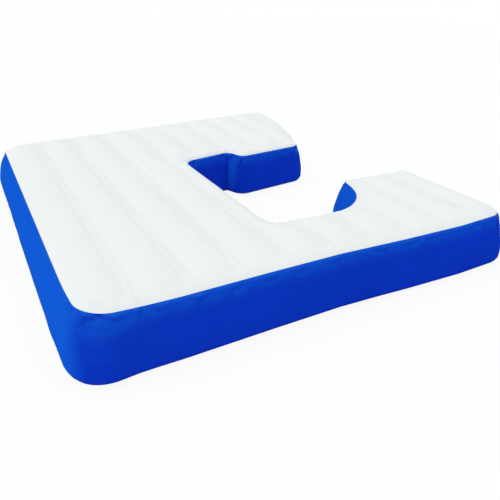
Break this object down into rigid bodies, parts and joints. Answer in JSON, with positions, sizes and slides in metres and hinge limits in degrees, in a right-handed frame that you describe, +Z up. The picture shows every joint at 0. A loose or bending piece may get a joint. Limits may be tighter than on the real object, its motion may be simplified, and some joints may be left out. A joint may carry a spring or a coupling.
{
  "type": "inflatable landing pad",
  "caption": "Low inflatable landing pad with a white chambered top, blue side walls and a rounded notch open to the right.",
  "frame": {"origin": "centre of the overall box at floor level", "axes": "+X along the straight front edge towards the side that the notch opens to, +Y from the front edge to the back, +Z up"},
  "size_m": [3.1182, 3.4776, 0.4],
  "materials": {
    "white_pvc": "satin PVC-coated fabric",
    "blue_pvc": "satin PVC-coated fabric",
    "grey_pvc": "matt PVC-coated fabric",
    "clear_baffle": "PVC-coated scrim",
    "webbing": "woven polyester",
    "stainless": "polished stainless wire",
    "valve_grey": "moulded plastic",
    "valve_rubber": "moulded rubber"
  },
  "bodies": {
    "pad": {"top_skin": "white_pvc", "bottom_skin": "grey_pvc", "front_wall": "blue_pvc", "near_end_wall": "blue_pvc", "near_inner_wall": "blue_pvc", "pocket_curve_wall": "blue_pvc", "pocket_side_wall": "blue_pvc", "pocket_far_wall": "blue_pvc", "far_inner_wall": "blue_pvc", "far_end_wall": "blue_pvc", "back_wall": "blue_pvc", "left_wall": "blue_pvc", "baffle_1": "clear_baffle", "baffle_2": "clear_baffle", "baffle_3": "clear_baffle", "baffle_4": "clear_baffle", "baffle_5_near": "clear_baffle", "baffle_5_far": "clear_baffle", "baffle_6_near": "clear_baffle", "baffle_6_far": "clear_baffle", "baffle_7_near": "clear_baffle", "baffle_7_far": "clear_baffle", "baffle_8_near": "clear_baffle", "baffle_8_far": "clear_baffle", "baffle_9_near": "clear_baffle", "baffle_9_far": "clear_baffle", "ring_patch_back_right": "blue_pvc", "ring_patch_back_left": "blue_pvc", "ring_patch_near_end": "blue_pvc", "ring_patch_pocket": "blue_pvc", "ring_strap_back_right": "webbing", "ring_strap_back_left": "webbing", "ring_strap_near_end": "webbing", "ring_strap_pocket": "webbing", "valve_base": "valve_grey", "valve_insert": "valve_grey", "valve_leash": "valve_grey"},
    "ring_back_right": {"d_ring_back_right": "stainless"},
    "ring_back_left": {"d_ring_back_left": "stainless"},
    "ring_near_end": {"d_ring_near_end": "stainless"},
    "ring_pocket": {"d_ring_pocket": "stainless"},
    "flap": {"valve_flap": "valve_rubber"},
    "cap": {"valve_cap": "valve_grey"}
  },
  "joints": [
    {"name": "ring_back_right_swing", "type": "hinge", "parent": "pad", "child": "ring_back_right", "pos_m": [0.96942, 1.68826, 0.20126], "axis": [0.9883, 0.1523, 0], "range_deg": [-3, 160]},
    {"name": "ring_back_left_swing", "type": "hinge", "parent": "pad", "child": "ring_back_left", "pos_m": [-1.08038, 1.3724, 0.20126], "axis": [0.9883, 0.1523, 0], "range_deg": [-3, 160]},
    {"name": "ring_near_end_swing", "type": "hinge", "parent": "pad", "child": "ring_near_end", "pos_m": [1.54883, -0.9512, 0.20126], "axis": [0, -1, 0], "range_deg": [-3, 160]},
    {"name": "ring_pocket_swing", "type": "hinge", "parent": "pad", "child": "ring_pocket", "pos_m": [-0.09617, -0.4403, 0.20126], "axis": [0, -1, 0], "range_deg": [-3, 160]},
    {"name": "flap_lift", "type": "slide", "parent": "pad", "child": "flap", "axis": [-0.9781, 0, -0.2079], "range_m": [0, 0.003], "stiffness_N_per_m": 50},
    {"name": "cap_turn", "type": "hinge", "parent": "pad", "child": "cap", "pos_m": [1.54218, -1.3179, 0.19985], "axis": [0.9781, 0, 0.2079], "range_deg": [0, 90]}
  ]
}
